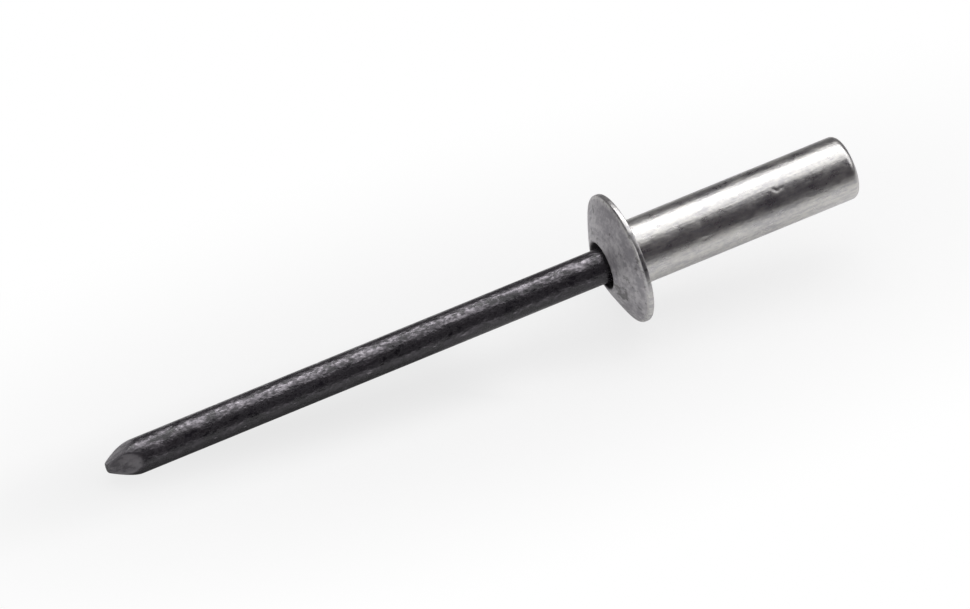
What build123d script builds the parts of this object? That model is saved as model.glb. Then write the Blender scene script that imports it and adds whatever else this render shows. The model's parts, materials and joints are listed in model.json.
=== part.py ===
from build123d import *
import math
import os

# Blind rivet with a closed end, not yet set: an aluminium body over a black steel mandrel.
# The body is a deep cup with a flange. The mandrel's bulbed head is shut inside its closed end,
# a pinched notch beside the head is where it breaks, and its long shank ends in a pinched point.
# Every station along the rivet is counted from the underside of the flange: plus is towards
# the closed end, minus is towards the mandrel's point.
# The rivet lies as it comes to rest, on the rim of its flange and on the mandrel's point.
# +Z is up, the point is at -X, the closed end at +X, and the origin is under the middle.

# Body, in millimetres
body_dia = 3.2
body_length = 12.0
end_round = 0.35
end_wall = 1.3
root_round = 0.28

# Flange
flange_dia = 6.5
flange_height = 1.15
rim_thickness = 0.28
rim_front_round = 0.1
rim_back_round = 0.05
dome_slope = 28.0
land_width = 0.78
recess_step = 0.12
recess_depth = 0.08

# Mouth of the bore
mouth_dia = 2.4
mouth_depth = 0.75
lip_round = 0.09
lip_turn = 80.0

# Mandrel
mandrel_dia = 1.73
mandrel_reach = 27.3
head_dia = 2.2
head_length = 1.5
nose_chamfer = 0.3
fit_gap = 0.035

# Break notch, pinched from two sides
notch_depth = 0.24
notch_width = 0.55
notch_to_head = 0.9

# Point, rounded in to a small blunt end and pinched to four flats
point_length = 1.5
point_end_dia = 0.56
point_flat = 0.46
point_turn = 26.0
point_sides = 4

# Radii and stations that follow from the sizes above
body_r = body_dia / 2
flange_r = flange_dia / 2
mouth_r = mouth_dia / 2
shank_r = mandrel_dia / 2
head_r = head_dia / 2
bore_r = shank_r + fit_gap
cavity_r = head_r + fit_gap
land_r = flange_r - land_width
recess_r = land_r - recess_step
cavity_floor = body_length - end_wall
head_start = cavity_floor - head_length
cavity_start = head_start - fit_gap
notch_at = head_start - notch_to_head
point_end_r = point_end_dia / 2
point_start = point_length - mandrel_reach
point_round = point_length / math.sin(2 * math.atan2(shank_r - point_end_r, point_length))

# Rest: the rim's front round and the round of the point both touch the surface below
corner_r = flange_r - rim_front_round
corner_at = rim_front_round - rim_thickness
rise = corner_r - (shank_r - point_round)
run = corner_at - point_start
tilt_rad = math.atan2(rise, run) - math.asin((point_round - rim_front_round) / math.hypot(rise, run))
tilt = math.degrees(tilt_rad)
seat_z = corner_r * math.cos(tilt_rad) + rim_front_round - corner_at * math.sin(tilt_rad)

# Furthest points along X of the closed end and of the blunt point, for the middle of the rivet
end_reach = (body_length - end_round) * math.cos(tilt_rad)
end_reach += (body_r - end_round) * math.sin(tilt_rad) + end_round
point_reach = mandrel_reach * math.cos(tilt_rad) + point_end_r * math.sin(tilt_rad)
seat_x = (point_reach - end_reach) / 2

# The plane of the rivet's section: its x runs along the rivet, its y is the radius
along = (math.cos(tilt_rad), 0, math.sin(tilt_rad))
section_plane = Plane(origin=(seat_x, 0, seat_z), x_dir=along, z_dir=(0, -1, 0))
rivet_axis = Axis(origin=(seat_x, 0, seat_z), direction=along)


def turned_section(angle):
    # The section plane, turned by an angle in degrees about the rivet's own axis
    return Plane(section_plane.location * Rotation(angle, 0, 0))


# Aluminium body: flange, shank, closed end and the hollow inside, cold headed as one piece
with BuildPart() as rivet_body:
    with BuildSketch(section_plane) as body_section:
        with BuildLine():
            closed_end = Line((body_length, 0), (body_length, body_r - end_round))
            end_corner = JernArc(closed_end @ 1, closed_end % 1, end_round, 90)
            wall = Line(end_corner @ 1, (root_round - recess_depth, body_r))
            root = JernArc(wall @ 1, wall % 1, root_round, -90)
            recess = Line(root @ 1, (-recess_depth, recess_r))
            step = Line(recess @ 1, (0, land_r))
            land = Line(step @ 1, (0, flange_r - rim_back_round))
            back_corner = JernArc(land @ 1, land % 1, rim_back_round, 90)
            rim = Line(back_corner @ 1, (corner_at, flange_r))
            front_corner = JernArc(rim @ 1, rim % 1, rim_front_round, 90 - dome_slope)
            dome_end = (-flange_height, mouth_r + lip_round)
            dome = TangentArc(front_corner @ 1, dome_end, tangent=front_corner % 1)
            lip = JernArc(dome @ 1, dome % 1, lip_round, lip_turn)
            mouth = Line(lip @ 1, (mouth_depth - flange_height, bore_r))
            bore = Line(mouth @ 1, (cavity_start, bore_r))
            shoulder = Line(bore @ 1, (cavity_start + cavity_r - bore_r, cavity_r))
            cavity = Line(shoulder @ 1, (cavity_floor, cavity_r))
            cavity_end = Line(cavity @ 1, (cavity_floor, 0))
            Line(cavity_end @ 1, closed_end @ 0)
        make_face()
    revolve(axis=rivet_axis)
rivet_body.part.label = "rivet_body"

# Steel mandrel: head, break notch, shank and point, headed and pinched from one wire
with BuildPart() as mandrel:
    with BuildSketch(section_plane) as mandrel_section:
        with BuildLine():
            nose = Line((cavity_floor, 0), (cavity_floor, head_r - nose_chamfer))
            nose_edge = Line(nose @ 1, (cavity_floor - nose_chamfer, head_r))
            head = Line(nose_edge @ 1, (head_start + head_r - shank_r, head_r))
            under_head = Line(head @ 1, (head_start, shank_r))
            shank = Line(under_head @ 1, (point_start, shank_r))
            point = TangentArc(shank @ 1, (-mandrel_reach, point_end_r), tangent=shank % 1)
            blunt_end = Line(point @ 1, (-mandrel_reach, 0))
            Line(blunt_end @ 1, nose @ 0)
        make_face()
    revolve(axis=rivet_axis)

    # Two opposite V cuts leave the thin waist that snaps
    for side in (0, 180):
        with BuildSketch(turned_section(side)):
            with BuildLine():
                Polyline(
                    (notch_at, shank_r - notch_depth),
                    (notch_at + notch_width, shank_r + notch_depth),
                    (notch_at - notch_width, shank_r + notch_depth),
                    close=True,
                )
            make_face()
        extrude(amount=head_r, both=True, mode=Mode.SUBTRACT)

    # Four flats cross the point's round, so each is a tongue with soft ridges beside it
    flat_rise = shank_r - point_flat / 2
    for side in range(point_sides):
        with BuildSketch(turned_section(side * 360 / point_sides - point_turn)):
            with BuildLine():
                Polyline(
                    (point_start - 2 * point_length, shank_r - 2 * flat_rise),
                    (point_start + point_length, shank_r + flat_rise),
                    (point_start - 2 * point_length, shank_r + flat_rise),
                    close=True,
                )
            make_face()
        extrude(amount=head_r, both=True, mode=Mode.SUBTRACT)
mandrel.part.label = "mandrel"

os.makedirs("parts", exist_ok=True)
export_step(rivet_body.part, "parts/rivet_body.step")
export_step(mandrel.part, "parts/mandrel.step")
print("tilt at rest", round(tilt, 3), "degrees; flange seat at x, z", round(seat_x, 3), round(seat_z, 3))
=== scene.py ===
# %% [markdown]
# # A blind rivet, before it is set
# A blind rivet joins sheets that can be reached from one side only. Its aluminium body is a deep
# cup with a flange round the mouth, and a long steel mandrel stands in it like a nail. The tool
# pulls the mandrel, the body swells behind the sheets, and the mandrel snaps off at a notch.
# Both pieces are turned shapes, so one lathe, built from Geometry Nodes, makes them both. Each
# then gets the small marks of its making and a finish, and a plain studio is set round it.
# The script starts from the solids, so the dressed pieces lie exactly where the solids lie.

# %% Load the solids
import json
import math

import bmesh
import bpy
import numpy as np
from mathutils import Matrix, Vector


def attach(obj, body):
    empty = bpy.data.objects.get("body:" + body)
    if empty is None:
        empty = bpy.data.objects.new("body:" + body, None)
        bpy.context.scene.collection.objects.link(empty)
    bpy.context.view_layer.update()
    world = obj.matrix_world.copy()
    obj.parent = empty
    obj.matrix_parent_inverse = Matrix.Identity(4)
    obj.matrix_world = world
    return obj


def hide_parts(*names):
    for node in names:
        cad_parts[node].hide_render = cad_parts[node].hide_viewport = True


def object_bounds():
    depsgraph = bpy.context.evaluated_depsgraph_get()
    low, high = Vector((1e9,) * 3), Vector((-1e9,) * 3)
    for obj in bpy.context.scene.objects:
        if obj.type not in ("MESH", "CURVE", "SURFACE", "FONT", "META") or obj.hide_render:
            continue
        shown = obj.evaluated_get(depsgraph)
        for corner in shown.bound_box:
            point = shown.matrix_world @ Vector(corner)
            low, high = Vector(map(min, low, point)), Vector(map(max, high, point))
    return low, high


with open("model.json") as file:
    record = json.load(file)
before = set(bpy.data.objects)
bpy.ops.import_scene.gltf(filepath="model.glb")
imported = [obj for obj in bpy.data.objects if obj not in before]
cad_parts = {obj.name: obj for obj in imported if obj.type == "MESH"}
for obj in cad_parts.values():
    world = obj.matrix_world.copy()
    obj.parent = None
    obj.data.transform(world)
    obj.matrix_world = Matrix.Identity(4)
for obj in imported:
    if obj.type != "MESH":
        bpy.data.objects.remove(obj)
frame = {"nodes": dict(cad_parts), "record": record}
cad_low, cad_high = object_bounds()
mm = 0.001
print("solids", sorted(frame["nodes"]), "box in mm", [round(v / mm, 2) for v in (*cad_low, *cad_high)])

# %% [markdown]
# ## The line of the rivet
# The rivet lies on the rim of its flange and on its point, so its axis is a few degrees from
# level. Everything on it is easier to say along that axis: a station in millimetres from the
# underside of the flange, plus towards the closed end, and a turn in degrees, from the top
# towards the viewer. One matrix takes such a place to the solids' frame, which is in metres.
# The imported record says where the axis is, and the solids say how long and wide the rivet is.

# %% Find the axis and measure along it
mounts = {mount["name"]: mount for mount in frame["record"]["mounts"]}
axis = Vector(mounts["shank"]["axis"])
shank_middle = Vector(mounts["shank"]["pos_m"])
under_flange = Vector(mounts["flange_seat"]["pos_m"])
seat = shank_middle + axis * (under_flange - shank_middle).dot(axis)
tilt = math.atan2(axis.z, axis.x)
lie = Matrix.Translation(seat) @ Matrix.Rotation(-tilt, 4, "Y") @ Matrix.Scale(mm, 4)


def mesh_points(mesh):
    """The corners of a mesh as an array with a row for each."""
    points = np.empty(len(mesh.vertices) * 3)
    mesh.vertices.foreach_get("co", points)
    return points.reshape(-1, 3)


def along_rivet(points):
    """Station, turn in radians and radius of points given in metres."""
    back = np.array(lie.inverted())
    local = points @ back[:3, :3].T + back[:3, 3]
    return local[:, 0], np.arctan2(-local[:, 1], local[:, 2]), np.hypot(local[:, 1], local[:, 2])


def off_rivet(station, turn, radius):
    """The way back: points in metres from station, turn and radius."""
    local = np.column_stack((station, -radius * np.sin(turn), radius * np.cos(turn)))
    there = np.array(lie)
    return local @ there[:3, :3].T + there[:3, 3]


body_station, _, body_radius = along_rivet(mesh_points(frame["nodes"]["rivet_body"].data))
mandrel_station, _, _ = along_rivet(mesh_points(frame["nodes"]["mandrel"].data))
body_r = mounts["shank"]["dims"]["r_mm"]
shank_r = mounts["mandrel_tail"]["dims"]["r_mm"]
body_length = float(body_station.max())
flange_r = float(body_radius.max())
cavity_floor = float(mandrel_station.max())
mandrel_reach = float(-mandrel_station.min())
print(f"tilt {math.degrees(tilt):.2f} degrees, body {body_length:.2f} mm, flange {2 * flange_r:.2f} mm,"
      f" mandrel from {-mandrel_reach:.2f} to {cavity_floor:.2f} mm")

# %% [markdown]
# ## A section, run by run
# A turned piece is its section, spun. The section is drawn as a lathe tool would travel: straight
# runs, arcs that carry on from the run before, and for the dome and the point an arc that has to
# end at a given place. The points start close together. A short running average then wears every
# sharp corner to a small round, which is what makes a real edge catch the light.

# %% Draw sections
section_step = 0.02
fewest_arc_steps = 4
corner_wear = np.array((1, 2, 3, 2, 1)) / 9


class Outline:
    """A section as stations and radii in millimetres."""

    def __init__(self, station, radius):
        self.points = [np.array((station, radius), float)]
        self.heading = 0.0

    def line(self, station, radius):
        """A straight run to a place."""
        start = self.points[-1]
        run = np.array((station, radius)) - start
        self.heading = math.atan2(run[1], run[0])
        steps = max(1, math.ceil(np.hypot(*run) / section_step))
        self.points += [start + run * i / steps for i in range(1, steps + 1)]
        return self

    def arc(self, size, turn):
        """A round stretch in line with the run before, to the left, or to the right if negative."""
        side = math.copysign(1, turn)
        first = self.heading - side * math.pi / 2
        centre = self.points[-1] - size * np.array((math.cos(first), math.sin(first)))
        steps = max(fewest_arc_steps, math.ceil(size * abs(turn) / section_step))
        for i in range(1, steps + 1):
            angle = first + turn * i / steps
            self.points.append(centre + size * np.array((math.cos(angle), math.sin(angle))))
        self.heading += turn
        return self

    def bend_to(self, station, radius):
        """The one arc in line with the run before that ends at a place."""
        chord = np.array((station, radius)) - self.points[-1]
        half = math.atan2(chord[1], chord[0]) - self.heading
        half = math.remainder(half, 2 * math.pi)
        return self.arc(np.hypot(*chord) / (2 * math.sin(abs(half))), 2 * half)

    def worn(self):
        """The section with its sharp corners worn to small rounds."""
        points = np.array(self.points)
        inner = np.column_stack([np.convolve(points[:, i], corner_wear, "valid") for i in (0, 1)])
        reach = len(corner_wear) // 2
        points[reach:-reach] = inner
        return points


# %% [markdown]
# Spinning every one of those points would make a needlessly heavy mesh. A point becomes a row of
# the mesh where the section has turned a few degrees, or gone a short way, since the last row.
# What is shut away inside the rivet makes do with far fewer rows.

# %% Choose the rows
row_turn = math.radians(8)
row_gap = 0.06
hidden_gap = 0.5


def rows(points, shown):
    """The points that the lathe needs, close together round curves and where the piece shows."""
    step = np.diff(points, axis=0)
    heading = np.unwrap(np.arctan2(step[:, 1], step[:, 0]))
    kept = [0]
    for i in range(1, len(points) - 1):
        turned = abs(heading[i] - heading[kept[-1]])
        gone = np.hypot(*(points[i] - points[kept[-1]]))
        if turned > row_turn or gone > (row_gap if shown[i] else hidden_gap):
            kept.append(i)
    kept.append(len(points) - 1)
    print("rows kept", len(kept), "of", len(points), "points")
    return points[kept]


# %% [markdown]
# ## Nodes that read like sums
# Geometry Nodes and materials are both node trees, so one pair of small classes writes both. The
# first wraps an output of a node. It can be added, multiplied or divided as if it were a number,
# and each such step becomes a Math node. A pattern on the metal then reads as a formula.

# %% Wrap an output
class Socket:
    """A node's output that can stand in a sum."""

    def __init__(self, tree, output):
        self.tree = tree
        self.output = output

    def __getitem__(self, name):
        return Socket(self.tree, self.output.node.outputs[name])

    def __add__(self, other):
        return self.tree.maths("ADD", self, other)

    def __sub__(self, other):
        return self.tree.maths("SUBTRACT", self, other)

    def __rsub__(self, other):
        return self.tree.maths("SUBTRACT", other, self)

    def __mul__(self, other):
        return self.tree.maths("MULTIPLY", self, other)

    def __truediv__(self, other):
        return self.tree.maths("DIVIDE", self, other)

    def __pow__(self, other):
        return self.tree.maths("POWER", self, other)

    __radd__ = __add__
    __rmul__ = __mul__

    def swing(self):
        """A pattern about 0.5, moved so that it swings about 0."""
        return self - 0.5


# %% [markdown]
# The second writes a tree. It makes any node from its type, its settings and its inputs, and
# hands back one of the node's outputs. The nodes that are used most have a short name of their own.

# %% Write a tree
class Tree:
    """Writes the nodes of one tree."""

    def __init__(self, node_tree):
        self.node_tree = node_tree

    def node(self, kind, settings=None, inputs=None, output=0):
        """Any node, from its type, its settings and its inputs; gives one of its outputs."""
        made = self.node_tree.nodes.new(kind)
        for name, value in (settings or {}).items():
            setattr(made, name, value)
        for name, value in (inputs or {}).items():
            if isinstance(value, Socket):
                self.node_tree.links.new(value.output, made.inputs[name])
            else:
                made.inputs[name].default_value = value
        return Socket(self, made.outputs[output]) if made.outputs else made

    def maths(self, operation, *terms):
        """One Math node."""
        return self.node("ShaderNodeMath", {"operation": operation}, dict(enumerate(terms)))

    def vector(self, operation, *terms, output=0):
        """One Vector Math node."""
        return self.node("ShaderNodeVectorMath", {"operation": operation}, dict(enumerate(terms)), output)

    def parts(self, vector):
        """The X, Y and Z of a vector, by name."""
        return self.node("ShaderNodeSeparateXYZ", None, {0: vector})

    def joined(self, x, y, z):
        """A vector from its X, Y and Z."""
        return self.node("ShaderNodeCombineXYZ", None, {0: x, 1: y, 2: z})

    def length(self, vector, stretch):
        """How long a vector is once each way has been stretched."""
        return self.vector("LENGTH", self.vector("MULTIPLY", vector, stretch), output="Value")

    def noise(self, place, stretch=(1, 1, 1), detail=2.0, roughness=0.5, seed=0.0):
        """Smooth noise about 0.5, whose stretch says how many grains fit a millimetre each way."""
        stretched = self.vector("MULTIPLY", place, stretch)
        inputs = {"Vector": stretched, "W": seed, "Scale": 1.0, "Detail": detail, "Roughness": roughness}
        return self.node("ShaderNodeTexNoise", {"noise_dimensions": "4D"}, inputs)

    def rise(self, value, low, high):
        """0 up to low and 1 from high, with a smooth step between; low may be the larger."""
        inputs = {"Value": value, "From Min": low, "From Max": high}
        return self.node("ShaderNodeMapRange", {"interpolation_type": "SMOOTHSTEP"}, inputs)

    def blend(self, factor, low, high):
        """A colour between two colours."""
        inputs = {0: factor, 6: low, 7: high}
        return self.node("ShaderNodeMix", {"data_type": "RGBA"}, inputs, output=2)


# %% [markdown]
# ## The lathe
# Blender's Screw modifier could spin a section too, but a Geometry Nodes tree keeps the sizes as
# named inputs, closes the seam and the poles by itself, and lets the metal waver a little. The
# tree lays out a grid with one row for each point of the section and one column for each step
# round. A grid point knows only its number, so its row and its turn are worked out from that. Half
# a step is added first, so that rounding never drops a point to the row before. The waver only
# ever takes metal off, so the piece stays within its solid.

# %% Place the points of the grid
waver_along = 0.25
waver_round = 1.1
half_step = 0.5


def row_and_turn(tree, steps_round):
    """The row of the section that a grid point takes, and how far round it goes."""
    columns = steps_round + 1
    index = tree.node("GeometryNodeInputIndex")
    row = tree.maths("FLOOR", (index + half_step) / columns)
    return row, (index - row * columns) / steps_round * (2 * math.pi)


def spun_place(tree, given, row, turn):
    """A grid point's place in metres, from its row's station and radius and its turn."""
    where = tree.node("GeometryNodeInputPosition")
    sample = {"Geometry": given["Section"], "Value": where, "Index": row}
    drawn = tree.parts(tree.node("GeometryNodeSampleIndex", {"data_type": "FLOAT_VECTOR"}, sample))
    up = tree.maths("COSINE", turn)
    side = tree.maths("SINE", turn)
    noise_place = tree.joined(drawn["X"] * waver_along, side * waver_round, up * waver_round)
    waver = tree.noise(noise_place, seed=given["Seed"]) * given["Waver"]
    radius = tree.maths("MAXIMUM", drawn["Z"] - waver, 0)
    lift = {"Vector": tree.joined(drawn["X"], radius * side, radius * up), "Angle": -tilt}
    turned = tree.node("ShaderNodeVectorRotate", {"rotation_type": "Y_AXIS"}, lift)
    return tree.vector("ADD", tree.vector("MULTIPLY", turned, (mm, mm, mm)), tuple(seat))


# %% [markdown]
# The rest of the tree is plumbing. Points that fall together, at the seam and at the poles, are
# merged, which closes the skin. A sheet that is rolled up this way round shows its back, so its
# faces are flipped to look out.

# %% Build the lathe's tree
weld = 5e-7
lathe_inputs = {
    "Section": "Geometry",
    "Steps Round": "Int",
    "Waver": "Float",
    "Seed": "Float",
    "Finish": "Material",
}


def lathe_tree():
    """Geometry Nodes that spin a section of edges about the rivet's axis."""
    group = bpy.data.node_groups.new("Lathe", "GeometryNodeTree")
    group.is_modifier = True
    group.interface.new_socket("Geometry", in_out="OUTPUT", socket_type="NodeSocketGeometry")
    for name, kind in lathe_inputs.items():
        group.interface.new_socket(name, in_out="INPUT", socket_type="NodeSocket" + kind)
    tree = Tree(group)
    given = tree.node("NodeGroupInput")
    row_count = tree.node("GeometryNodeAttributeDomainSize", None, {"Geometry": given["Section"]})
    counts = {"Vertices X": row_count, "Vertices Y": given["Steps Round"] + 1}
    sheet = tree.node("GeometryNodeMeshGrid", None, counts)
    row, turn = row_and_turn(tree, given["Steps Round"])
    place = spun_place(tree, given, row, turn)
    skin = tree.node("GeometryNodeSetPosition", None, {"Geometry": sheet, "Position": place})
    skin = tree.node("GeometryNodeMergeByDistance", None, {"Geometry": skin, "Distance": weld})
    skin = tree.node("GeometryNodeFlipFaces", None, {"Mesh": skin})
    skin = tree.node("GeometryNodeSetShadeSmooth", None, {0: skin})
    skin = tree.node("GeometryNodeRealizeInstances", None, {"Geometry": skin})
    skin = tree.node("GeometryNodeSetMaterial", None, {"Geometry": skin, "Material": given["Finish"]})
    tree.node("NodeGroupOutput", None, {"Geometry": skin})
    return group


lathe = lathe_tree()
print("lathe with", len(lathe.nodes), "nodes")

# %% [markdown]
# The tree is used as a modifier on a bare string of edges, the section. Its inputs are set by
# their identifiers before Blender first works the object out. The result is then copied to a
# plain mesh, and the modifier goes, so that what is left is an ordinary object at the origin.
# Its volume is printed as a check: it comes out negative if the faces look inwards.

# %% Turn a section into a piece
def volume(mesh):
    """What a closed mesh holds, in cubic millimetres."""
    shell = bmesh.new()
    shell.from_mesh(mesh)
    held = shell.calc_volume(signed=True) / mm ** 3
    shell.free()
    return held


def spin(name, section, finish, steps_round, waver, seed):
    """A plain mesh object, spun from a section of stations and radii."""
    mesh = bpy.data.meshes.new(name)
    corners = [(station, 0.0, radius) for station, radius in section]
    mesh.from_pydata(corners, [(i, i + 1) for i in range(len(corners) - 1)], [])
    piece = bpy.data.objects.new(name, mesh)
    bpy.context.scene.collection.objects.link(piece)
    modifier = piece.modifiers.new("Lathe", "NODES")
    modifier.node_group = lathe
    identifiers = {item.name: item.identifier for item in lathe.interface.items_tree}
    inputs = {"Steps Round": steps_round, "Waver": waver, "Seed": seed, "Finish": finish}
    for label, value in inputs.items():
        modifier[identifiers[label]] = value
    evaluated = piece.evaluated_get(bpy.context.evaluated_depsgraph_get())
    piece.data = bpy.data.meshes.new_from_object(evaluated)
    piece.modifiers.clear()
    print(name, len(piece.data.polygons), "faces, volume", round(volume(piece.data), 2), "cubic mm")
    return piece


# %% [markdown]
# ## A pinch in the wire
# Dies pinch the break notch and the flats of the point into the round wire. Cutting the mesh
# with planes would leave knife edges, so a pinch moves the points that the lathe has made: it
# lowers their radius to a flat plane. The plane and the round meet in a soft minimum, which
# rounds the ridge between them as squeezed metal is rounded. A point that faces away from the
# flat has no plane over it, and one far under its plane is left as it is.

# %% Pinch flats
least_facing = 0.05
soft_reach = 40


def pinch(turn, radius, facing, distance, soft):
    """Lowers the radius to a flat that faces one turn, at a distance from the axis."""
    towards = np.cos(turn - facing)
    flat = np.where(towards > least_facing, distance / np.maximum(towards, least_facing), np.inf)
    flat = np.minimum(flat, radius + soft_reach * soft)
    return radius - soft * np.log1p(np.exp((radius - flat) / soft))


# %% [markdown]
# ## Knocks and scratches
# Loose rivets knock against each other in their box, and none comes out of it perfectly smooth.
# A picture of scratches could be laid over the metal, but light only breaks rightly at a mark
# that has depth, so each one is pressed into the mesh: a short groove, often no longer than it is
# wide, square to the surface. A few have their own places, and a fixed seed scatters the rest.

# %% Knock and scratch
width_spread = (0.6, 1.6)


def groove(points, start, end, width):
    """How deep points lie in a round-bottomed groove between two places, from 0 to 1."""
    run = end - start
    share = np.clip((points - start) @ run / (run @ run), 0, 1)
    gap = np.linalg.norm(points - start - share[:, None] * run, axis=1)
    return np.exp(-((gap / width) ** 2))


def place_of(station, degrees, radius):
    """One place in metres, from its station, turn and radius."""
    return off_rivet(np.array([station]), np.radians([degrees]), np.array([radius]))[0]


def handle(piece, placed, count, seed, shown_from, longest, width, depth):
    """Presses placed and random grooves into a piece, square to its surface."""
    mesh = piece.data
    points = mesh_points(mesh)
    normals = np.empty(points.size)
    mesh.vertex_normals.foreach_get("vector", normals)
    normals = normals.reshape(-1, 3)
    chance = np.random.default_rng(seed)
    shown = np.flatnonzero(shown_from(*along_rivet(points)))
    sunk = np.zeros(len(points))
    for start, end, wide, deep in placed:
        pressed = groove(points, place_of(*start), place_of(*end), wide * mm)
        sunk = np.maximum(sunk, deep * mm * pressed)
    for _ in range(count):
        middle = chance.choice(shown)
        way = np.cross(normals[middle], chance.normal(size=3))
        way *= mm * longest * chance.random() ** 2 / np.linalg.norm(way)
        wide = width * mm * chance.uniform(*width_spread)
        deep = depth * mm * chance.random() ** 2
        sunk = np.maximum(sunk, deep * groove(points, points[middle] - way, points[middle] + way, wide))
    mesh.vertices.foreach_set("co", (points - normals * sunk[:, None]).ravel())
    mesh.update()
    print(piece.name, "marks up to", round(float(sunk.max()) / mm, 3), "mm deep")


# %% [markdown]
# ## Metal that is not one grey
# A finish reads the Object coordinates, which on every piece are the solids' own. A Mapping node
# of the Texture kind undoes the rivet's lie, so that a pattern can follow the axis and is counted
# in millimetres. The heights that go into the Bump node are real ones, a few hundredths of a
# millimetre at most, because metal shows the slope of its surface and not its depth.

# %% Start a finish
class Finish(Tree):
    """A material with a Principled shader, and places on the rivet in millimetres."""

    def __init__(self, name):
        self.material = bpy.data.materials.new(name)
        self.material.use_nodes = True
        self.material.node_tree.nodes.clear()
        super().__init__(self.material.node_tree)
        lie_down = {"Location": tuple(seat), "Rotation": (0, -tilt, 0), "Scale": (mm, mm, mm)}
        lie_down["Vector"] = self.node("ShaderNodeTexCoord", output="Object")
        self.place = self.node("ShaderNodeMapping", {"vector_type": "TEXTURE"}, lie_down)
        parts = self.parts(self.place)
        self.station, self.across, self.up = parts["X"], parts["Y"], parts["Z"]
        self.radius = (self.across * self.across + self.up * self.up) ** 0.5

    def mark(self, name):
        """What an attribute of the mesh says."""
        return self.node("ShaderNodeAttribute", {"attribute_name": name}, output="Fac")

    def surface(self, height, inputs):
        """The shader and its bump, from a height in millimetres and the shader's inputs."""
        bump = self.node("ShaderNodeBump", None, {"Height": height, "Strength": 1.0, "Distance": mm})
        shader = self.node("ShaderNodeBsdfPrincipled", None, {**inputs, "Normal": bump})
        self.node("ShaderNodeOutputMaterial", None, {"Surface": shader})
        print(self.material.name, "with", len(self.node_tree.nodes), "nodes")
        return self.material


# %% [markdown]
# ## Satin aluminium
# The body is cold headed from soft aluminium and tumbled clean. The shank keeps a satin shine. The
# flange was struck, so it is greyer and rougher, apart from its edge, which is rubbed bright. The
# closed end is half as dull. Inside the mouth hardly any light gets down to the metal. Masks for
# those places come first, cut from the station and the radius with soft steps.

# %% Find the dull places
mouth_r = 1.2


def body_places(finish):
    """Masks of the flange, of all that is dull, and of the throat inside the mouth."""
    flange = finish.rise(finish.radius, body_r + 0.04, body_r + 0.2)
    flange = finish.maths("MAXIMUM", flange, finish.rise(finish.station, -0.1, -0.25))
    edge = finish.rise(finish.radius, flange_r - 0.2, flange_r - 0.1)
    end_face = finish.rise(finish.station, body_length - 0.2, body_length - 0.02)
    dull = finish.maths("MAXIMUM", flange * (1 - edge * 0.8), end_face * 0.6)
    throat = finish.rise(finish.radius, mouth_r + 0.1, mouth_r - 0.05) * finish.rise(finish.station, 1, 0)
    return flange, dull, throat


# %% [markdown]
# All the rest is noise, stretched and cut off in several ways: a fine grain, faint lines that the
# die drew along the shank, a mottle from the tumbling, rings round the mouth, an oily stain that
# has settled beside it, and a few small pits that hold dark dirt. The same patterns drive the
# height, the roughness and the colour, as on real metal, where one scratch changes all three.

# %% Finish the aluminium
stain_place = (-0.88, -1.73, -0.6)
stain_reach = 0.9
stain_core = 0.2
shank_bright = (0.82, 0.805, 0.77, 1)
shank_dark = (0.58, 0.57, 0.58, 1)
flange_bright = (0.7, 0.685, 0.695, 1)
flange_dark = (0.44, 0.425, 0.45, 1)
oil = (0.14, 0.135, 0.13, 1)
dirt = (0.1, 0.095, 0.1, 1)
unlit = (0.03, 0.028, 0.03, 1)


def satin_aluminium():
    """The body's finish: bright along the shank, duller on the flange and the closed end."""
    finish = Finish("satin_aluminium")
    place = finish.place
    flange, dull, throat = body_places(finish)

    # Patterns, with how many grains fit a millimetre along the rivet and across it
    grain = finish.noise(place, (4, 5.5, 5.5), detail=3, roughness=0.6, seed=1)
    drawn = finish.noise(place, (0.7, 7, 7), detail=3, roughness=0.6, seed=2)
    mottle = finish.noise(place, (1.3, 2.4, 2.4), detail=3, roughness=0.65, seed=3)
    cloud = finish.noise(place, (0.35, 0.5, 0.5), seed=4)
    ring_place = finish.joined(finish.radius, finish.across, finish.up)
    rings = finish.noise(ring_place, (3.5, 0.9, 0.9), detail=3, roughness=0.65, seed=5)
    specks = finish.noise(place, (5, 5, 5), detail=1, seed=6)
    stains = finish.noise(place, (2.2, 2.2, 2.2), detail=3, roughness=0.65, seed=7)
    blotches = finish.noise(place, (0.9, 2.6, 2.6), detail=3, roughness=0.7, seed=8)

    # Marks, cut from the patterns
    pits = finish.rise(specks, 0.23, 0.14)
    beside_mouth = finish.vector("DISTANCE", place, stain_place, output="Value")
    settled = finish.rise(beside_mouth, stain_reach, stain_core) * 0.13
    stain = finish.rise(stains + settled, 0.58, 0.68) * flange
    blotch = finish.rise(blotches, 0.56, 0.7)

    # Height in millimetres, roughness, and how light the grey is
    height = grain.swing() * 0.008 + drawn.swing() * 0.0065 * (1 - dull) + mottle.swing() * 0.014
    height = height + rings.swing() * 0.01 * flange - pits * 0.004
    roughness = 0.31 + mottle.swing() * 0.35 + dull * 0.22 + pits * 0.2
    shade = 0.5 + cloud.swing() * 0.6 + grain.swing() * 0.8 + mottle.swing() * (0.5 + flange * 0.6)
    shade = shade + rings.swing() * flange * 1.3 + drawn.swing() * (1 - dull) * 0.9 - blotch * 0.35

    bright = finish.blend(dull, shank_bright, flange_bright)
    dark = finish.blend(dull, shank_dark, flange_dark)
    colour = finish.blend(finish.rise(shade, 0.2, 0.8), dark, bright)
    colour = finish.blend(stain * 0.6, colour, oil)
    colour = finish.blend(pits * 0.28, colour, dirt)
    colour = finish.blend(throat * 0.9, colour, unlit)
    return finish.surface(height, {"Base Color": colour, "Metallic": 1.0, "Roughness": roughness})


aluminium = satin_aluminium()

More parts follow.
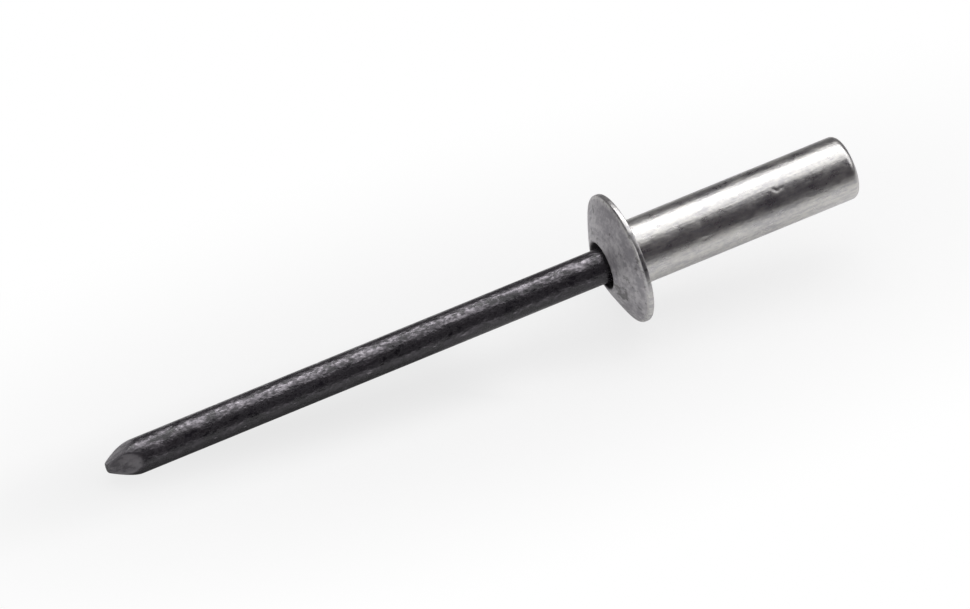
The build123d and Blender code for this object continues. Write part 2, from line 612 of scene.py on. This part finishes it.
# %% [markdown]
# ## Dark steel
# The mandrel's wire has a charcoal coat that holds oil, and is slightly violet beside the body's
# grey. Its surface is crystalline, so the light along it breaks up into grains. Bare steel shows
# as fine flecks and as a few scuffs further round. The flecks are laid on more densely on the top
# side, which is a painted highlight: it brightens the band where the lamps are mirrored and keeps
# the side below darker. A bare fleck is metal and the coat isn't, so one mask drives both the
# colour and the Metallic.
# At the point the finish reads two attributes of the mesh. Where it is pinched, on the flats, the
# dies have smeared the coat to a paler grey. All round the narrowed wire the bare flecks are cut
# back, so between the flats the coat is nearly whole; this is painted shade, which makes the
# highlight fade towards the point.

# %% Finish the steel
coat_dark = (0.009, 0.0075, 0.0105, 1)
coat_light = (0.02, 0.017, 0.023, 1)
bare_steel = (0.45, 0.425, 0.456, 1)
smeared_dark = (0.2, 0.19, 0.205, 1)
smeared_light = (0.46, 0.44, 0.46, 1)


def dark_steel():
    """The mandrel's finish: a dark coat with a soft sheen, rubbed through in flecks."""
    finish = Finish("dark_steel")
    place = finish.place
    pinched = finish.mark("pinched")
    guarded = finish.mark("guarded")
    grain = finish.noise(place, (4.5, 6, 6), seed=11)
    patches = finish.noise(place, (1.2, 2.2, 2.2), detail=3, roughness=0.6, seed=12)
    cloud = finish.noise(place, (0.25, 0.8, 0.8), seed=13)
    scuffs = finish.noise(place, (1.2, 5, 5), seed=14)

    # Where the coat is rubbed through, with more flecks on top as a painted highlight
    painted_top_highlight = finish.rise(finish.up, -0.2, 0.8)
    rubbed_and_painted_top = finish.rise(grain * 0.45 + patches * 0.55, 0.37, 0.77) * (0.2 + painted_top_highlight * 0.7)
    scuffed = finish.rise(scuffs + patches.swing() * 0.3, 0.63, 0.72) * 0.6
    # The bare flecks are cut back round the point, a painted shade that fades the highlight there
    bare_and_painted_light = finish.maths("MAXIMUM", rubbed_and_painted_top, scuffed) * (1 - guarded * 0.8)

    coat = finish.blend(finish.rise(cloud, 0.3, 0.7), coat_dark, coat_light)
    smeared = finish.blend(finish.rise(patches, 0.35, 0.65), smeared_dark, smeared_light)
    colour = finish.blend(bare_and_painted_light, coat, bare_steel)
    colour = finish.blend(pinched * 0.6, colour, smeared)
    height = (grain.swing() * 0.02 + patches.swing() * 0.048) * (1 - pinched * 0.5)
    roughness = 0.28 + patches.swing() * 0.4
    metallic = finish.maths("MINIMUM", bare_and_painted_light * 3, 1) * (1 - pinched * 0.6)
    inputs = {"Base Color": colour, "Metallic": metallic, "Roughness": roughness, "IOR": 1.6}
    return finish.surface(height, inputs)


steel = dark_steel()

# %% [markdown]
# ## The body
# The section is the real one, inside and out: closed end, shank, root, the recessed underside of
# the flange, its rounded rim and dome, the mouth, the bore, and the cavity round the mandrel's
# head. Two hundred steps round keep the reflections smooth, and the inside gets few rows.

# %% Draw and turn the body
quarter = math.pi / 2
end_round = 0.35
root_round = 0.28
recess_depth = 0.08
recess_step = 0.12
land_width = 0.78
rim_thickness = 0.28
rim_front_round = 0.1
rim_back_round = 0.05
flange_height = 1.15
dome_slope = math.radians(28)
mouth_depth = 0.75
lip_round = 0.09
lip_turn = math.radians(80)
fit_gap = 0.035
bore_r = shank_r + fit_gap
head_r = 1.1
head_length = 1.5
cavity_r = head_r + fit_gap
cavity_start = cavity_floor - head_length - fit_gap
land_r = flange_r - land_width

section = Outline(body_length, 0).line(body_length, body_r - end_round).arc(end_round, quarter)
section.line(root_round - recess_depth, body_r).arc(root_round, -quarter)
section.line(-recess_depth, land_r - recess_step).line(0, land_r).line(0, flange_r - rim_back_round)
section.arc(rim_back_round, quarter).line(rim_front_round - rim_thickness, flange_r)
section.arc(rim_front_round, quarter - dome_slope).bend_to(-flange_height, mouth_r + lip_round)
section.arc(lip_round, lip_turn).line(mouth_depth - flange_height, bore_r)
outside = len(section.points)
section.line(cavity_start, bore_r).line(cavity_start + cavity_r - bore_r, cavity_r)
section.line(cavity_floor, cavity_r).line(cavity_floor, 0)
shown = np.arange(len(section.points)) < outside
body_rows = rows(section.worn(), shown)
body = spin("satin_body", body_rows, aluminium, steps_round=200, waver=0.012, seed=3.0)

# %% [markdown]
# The marks that have their own places are a V-shaped nick in the shank and a dent nearer the
# closed end. Each is written as its two ends, by station, turn and radius, its width and its
# depth. Only the outside of the body can be knocked.

# %% Handle the body
skin_depth = 0.02
nick_top = (7.7, 34, body_r)
nick_tip = (7.88, 40, body_r)
nick_end = (8.12, 36, body_r)
body_marks = (
    (nick_top, nick_tip, 0.06, 0.02),
    (nick_tip, nick_end, 0.06, 0.02),
    ((10.9, 58, body_r), (11.0, 60, body_r), 0.06, 0.015),
)


def body_outside(station, turn, radius):
    """Where the body can be knocked: outside the bore."""
    return (radius > body_r - skin_depth) | (station > body_length - skin_depth)


handle(body, body_marks, count=90, seed=21, shown_from=body_outside, longest=0.35, width=0.06, depth=0.012)

# %% [markdown]
# ## The mandrel
# The mandrel is headed from wire: a bulbed head, an undercut, a long shank and a rounded point.
# Only the shank and the neighbourhood of the break notch need close rows.

# %% Draw and turn the mandrel
nose_chamfer = 0.3
notch_depth = 0.24
notch_width = 0.55
notch_to_head = 0.9
point_length = 1.5
point_end_r = 0.28
point_start = point_length - mandrel_reach
head_start = cavity_floor - head_length
notch_at = head_start - notch_to_head

section = Outline(cavity_floor, 0).line(cavity_floor, head_r - nose_chamfer)
section.line(cavity_floor - nose_chamfer, head_r).line(head_start + head_r - shank_r, head_r)
section.line(head_start, shank_r).line(point_start, shank_r).bend_to(-mandrel_reach, point_end_r)
section.line(-mandrel_reach, 0)
stations = np.array(section.points)[:, 0]
shown = (stations < mouth_depth - flange_height) | (abs(stations - notch_at) < notch_width)
mandrel_rows = rows(section.worn(), shown)
mandrel = spin("steel_mandrel", mandrel_rows, steel, steps_round=144, waver=0.01, seed=7.0)

# %% [markdown]
# Dies pinch the notch where the mandrel breaks, from two sides, and the four flats of the point.
# The two attributes that the finish reads are made here too, because here it is known how far
# the dies have pressed each point of the mesh, and where the point of the wire begins.

# %% Pinch the notch and the point
notch_soft = 0.01
point_soft = 0.028
point_flat_r = 0.23
point_facing = -26
point_sides = 4
smear_start = 0.001
smear_range = 0.018
# Where the point's painted shade begins before the point, and over how long it comes in
painted_point_shade_lead = 0.5
painted_point_shade_range = 1.1

station, turn, radius = along_rivet(mesh_points(mandrel.data))
notch_plane = shank_r - notch_depth + abs(station - notch_at) * (2 * notch_depth / notch_width)
for facing in (0, 180):
    radius = pinch(turn, radius, math.radians(facing), notch_plane, notch_soft)
round_radius = radius
point_plane = shank_r - (shank_r - point_flat_r) * (point_start - station) / point_length
for side in range(point_sides):
    facing = point_facing + side * 360 / point_sides
    radius = pinch(turn, radius, math.radians(facing), point_plane, point_soft)
mandrel.data.vertices.foreach_set("co", off_rivet(station, turn, np.maximum(radius, 0)).ravel())

pinched = np.clip((round_radius - radius - smear_start) / smear_range, 0, 1) * (station < 0)
# The point's painted shade: 0 along the shank, rising to 1 past the start of the point
guarded = np.clip((point_start + painted_point_shade_lead - station) / painted_point_shade_range, 0, 1)
for name, value in (("pinched", pinched), ("guarded", guarded)):
    mark = mandrel.data.attributes.new(name, "FLOAT", "POINT")
    mark.data.foreach_set("value", value)
mandrel.data.update()
waist = radius[abs(station - notch_at) < notch_width].min()
print("the notch leaves", round(float(waist), 2), "mm to the axis")

# %% [markdown]
# Last it is knocked about like the body, outside the flange only. Its marks are all random ones.

# %% Handle the mandrel
def mandrel_outside(station, turn, radius):
    """Where the mandrel can be knocked: outside the body."""
    return station < -flange_height


handle(mandrel, (), count=160, seed=22, shown_from=mandrel_outside, longest=0.5, width=0.05, depth=0.014)

# %% [markdown]
# ## Both pieces take their solids' places
# Each dressed piece rides on the rivet and stands for its solid, which is hidden.

# %% Seat the pieces
for piece, node, slot in ((body, "rivet_body", "satin_aluminium"), (mandrel, "mandrel", "dark_steel")):
    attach(piece, "root")
    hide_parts(node)
    print(piece.name, "stands for", node)

# %% [markdown]
# ## A pale floor
# The floor is plain, and what polished metal shows is mostly floor. Near the rivet it is white
# paper, which gives the shank its lower grey band. Further out the paper is painted greyer, a
# painted falloff of the light, which keeps the flange from washing out. A narrow strip right under
# the mandrel is painted darker, a painted contact shadow, and that keeps the mandrel's lower edge
# dark. The camera sees all of it as plain white, but a little less so close to the rivet, where
# the shadow stays, and glossy rays see a share of that white too. Distances here are in metres,
# and count less along the rivet.

# %% Lay the floor
floor_half = 3.0
near_paper = (0.85, 0.85, 0.85, 1)
far_paper_painted_falloff = (0.3, 0.3, 0.3, 1)
shaded_paper = (0.4, 0.4, 0.4, 1)
white = (1, 1, 1, 1)
round_rivet = (0.35, 1, 1)
along_mandrel = (0.08, 1, 1)


def pale_floor():
    """Matt paper that turns to a plain white background away from the rivet."""
    material = bpy.data.materials.new("pale_floor")
    material.use_nodes = True
    material.node_tree.nodes.clear()
    tree = Tree(material.node_tree)
    place = tree.node("ShaderNodeTexCoord", output="Object")
    distance = tree.length(place, round_rivet)
    past_mandrel = tree.rise(tree.parts(place)["X"], -0.003, 0.001)
    beside_mandrel = tree.rise(tree.length(place, along_mandrel), 0.0012, 0.0042)
    open_air = tree.maths("MAXIMUM", beside_mandrel, past_mandrel)
    # Far from the rivet the paper is painted greyer, a painted falloff of the light
    paper = tree.blend(tree.rise(distance, 0.008, 0.03), near_paper, far_paper_painted_falloff)
    # A strip under the mandrel takes the darker paper, a painted contact shadow
    paper = tree.blend(open_air, shaded_paper, paper)
    matt = tree.node("ShaderNodeBsdfDiffuse", None, {"Color": paper})
    glow = tree.node("ShaderNodeEmission", None, {"Color": white})
    seen = 0.78 + tree.rise(distance, 0.003, 0.016) * 0.22
    mirrored = (0.24 - tree.rise(distance, 0.004, 0.022) * 0.16) * (0.3 + open_air * 0.7)
    rays = tree.node("ShaderNodeLightPath")
    share = rays["Is Camera Ray"] * seen + rays["Is Glossy Ray"] * mirrored
    mixed = tree.node("ShaderNodeMixShader", None, {0: share, 1: matt, 2: glow})
    tree.node("ShaderNodeOutputMaterial", None, {"Surface": mixed})
    return material


floor_mesh = bpy.data.meshes.new("floor")
corners = [(x * floor_half, y * floor_half, 0) for x, y in ((-1, -1), (1, -1), (1, 1), (-1, 1))]
floor_mesh.from_pydata(corners, [], [(0, 1, 2, 3)])
floor_mesh.materials.append(pale_floor())
floor = bpy.data.objects.new("floor", floor_mesh)
bpy.context.scene.collection.objects.link(floor)
print("floor", 2 * floor_half, "m wide")

# %% [markdown]
# ## Light for metal
# Metal shows what is round it. A broad soft panel hangs behind and above, with a narrow brighter
# one in it, and together they give the shank an upper band with a bright core. The side of the
# camera stays dim, which is the dark band below it. A low panel on the left picks out the rim of
# the flange, and one on the right lights the closed end. A panel's power follows from its size
# and its radiance, so that a panel can be made wider without making its reflection brighter.

# %% Set the lights
middle = (cad_low + cad_high) / 2
panel_distance = 0.5
panels = {
    "sky_panel": {"azimuth": 25, "elevation": 69, "size": (0.64, 0.6), "radiance": 1.22},
    "core_panel": {"azimuth": 25, "elevation": 60, "size": (0.64, 0.07), "radiance": 3.5},
    "left_panel": {"azimuth": 250, "elevation": 18, "size": (0.34, 0.26), "radiance": 1.3},
    "right_panel": {"azimuth": 100, "elevation": 38, "size": (0.4, 0.36), "radiance": 1.2},
}


def soft_light(name, azimuth, elevation, size, radiance):
    """A rectangular soft light that looks at the rivet, as bright as its radiance says."""
    lamp = bpy.data.lights.new(name, "AREA")
    lamp.shape = "RECTANGLE"
    lamp.size, lamp.size_y = size
    lamp.energy = radiance * math.pi * size[0] * size[1]
    light = bpy.data.objects.new(name, lamp)
    a, e = math.radians(azimuth), math.radians(elevation)
    back = Vector((math.sin(a) * math.cos(e), math.cos(a) * math.cos(e), math.sin(e)))
    light.location = middle + back * panel_distance
    light.rotation_euler = back.to_track_quat("Z", "Y").to_euler()
    bpy.context.scene.collection.objects.link(light)
    print(name, round(lamp.energy, 3), "W")


for name, panel in panels.items():
    soft_light(name, **panel)

# %% [markdown]
# The air round it all is dim, so that only the panels and the floor show in the metal. Only the
# camera sees it as white, like the floor.

# %% Dim the air
dim = (0.046, 0.041, 0.048, 1)
world = bpy.data.worlds.new("studio")
world.use_nodes = True
world.node_tree.nodes.clear()
studio = Tree(world.node_tree)
rays = studio.node("ShaderNodeLightPath")
seen = studio.blend(rays["Is Camera Ray"], dim, white)
air = studio.node("ShaderNodeBackground", None, {"Color": seen})
studio.node("ShaderNodeOutputWorld", None, {"Surface": air})
bpy.context.scene.world = world
print("world", world.name)

# %% [markdown]
# ## The camera
# It looks down at the rivet from the side of the point, through a long lens, as the photograph
# does. The picture is centred on what the rivet covers in it.

# %% Set the camera
view_elevation = math.radians(41.7)
view_yaw = math.radians(26.5)
view_distance = 0.6
picture_width = 0.046

to_camera = Vector((-math.sin(view_yaw) * math.cos(view_elevation),
                    -math.cos(view_yaw) * math.cos(view_elevation),
                    math.sin(view_elevation)))
look = to_camera.to_track_quat("Z", "Y")
rivet_points = np.concatenate([mesh_points(piece.data) for piece in (body, mandrel)])
turned = rivet_points @ np.array(look.to_matrix())
centre = look @ Vector((turned.max(0) + turned.min(0)) / 2)
lens = bpy.data.cameras.new("camera")
lens.angle = 2 * math.atan(picture_width / 2 / view_distance)
camera = bpy.data.objects.new("camera", lens)
camera.location = centre + to_camera * view_distance
camera.rotation_mode = "QUATERNION"
camera.rotation_quaternion = look
bpy.context.scene.collection.objects.link(camera)
bpy.context.scene.camera = camera
bpy.context.scene.view_settings.view_transform = "Standard"
print("camera", round(view_distance / mm), "mm away, picture", round(picture_width / mm), "mm wide")
